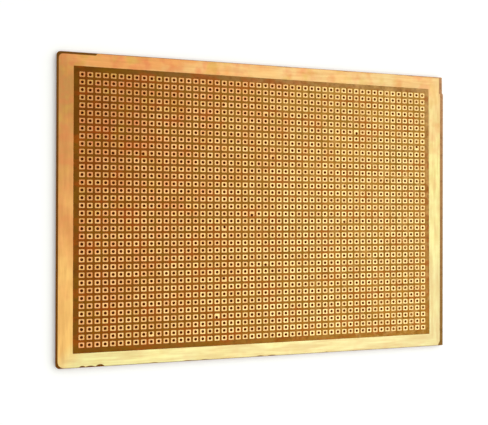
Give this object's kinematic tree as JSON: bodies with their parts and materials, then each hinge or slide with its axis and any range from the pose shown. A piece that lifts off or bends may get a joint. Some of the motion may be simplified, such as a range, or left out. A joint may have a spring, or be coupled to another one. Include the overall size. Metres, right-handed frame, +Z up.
{
  "type": "prototype board",
  "caption": "Flat rectangular circuit prototyping board: drilled laminate sheet with a copper border and a square grid of separate solder pads, each with a lead hole.",
  "frame": {"origin": "under the middle of the sheet, on its bare lower face", "axes": "+X along the long side, from the first column of pads to the last; +Y along the short side, towards the first row; +Z up, out of the copper face"},
  "size_m": [0.1444, 0.1038, 0.0016],
  "materials": {
    "laminate": "brown phenolic paper laminate, semi-matt, with a faint fibre mottle",
    "border_copper": "rolled copper foil, satin, with fine lengthwise brush lines and light tarnish",
    "pad_copper": "rolled copper foil, satin, lightly tarnished"
  },
  "bodies": {
    "root": {"laminate": "laminate", "copper_border": "border_copper", "pad_row_01": "pad_copper", "pad_row_02": "pad_copper", "pad_row_03": "pad_copper", "pad_row_04": "pad_copper", "pad_row_05": "pad_copper", "pad_row_06": "pad_copper", "pad_row_07": "pad_copper", "pad_row_08": "pad_copper", "pad_row_09": "pad_copper", "pad_row_10": "pad_copper", "pad_row_11": "pad_copper", "pad_row_12": "pad_copper", "pad_row_13": "pad_copper", "pad_row_14": "pad_copper", "pad_row_15": "pad_copper", "pad_row_16": "pad_copper", "pad_row_17": "pad_copper", "pad_row_18": "pad_copper", "pad_row_19": "pad_copper", "pad_row_20": "pad_copper", "pad_row_21": "pad_copper", "pad_row_22": "pad_copper", "pad_row_23": "pad_copper", "pad_row_24": "pad_copper", "pad_row_25": "pad_copper", "pad_row_26": "pad_copper", "pad_row_27": "pad_copper", "pad_row_28": "pad_copper", "pad_row_29": "pad_copper", "pad_row_30": "pad_copper", "pad_row_31": "pad_copper", "pad_row_32": "pad_copper", "pad_row_33": "pad_copper", "pad_row_34": "pad_copper", "pad_row_35": "pad_copper", "pad_row_36": "pad_copper"}
  },
  "joints": []
}
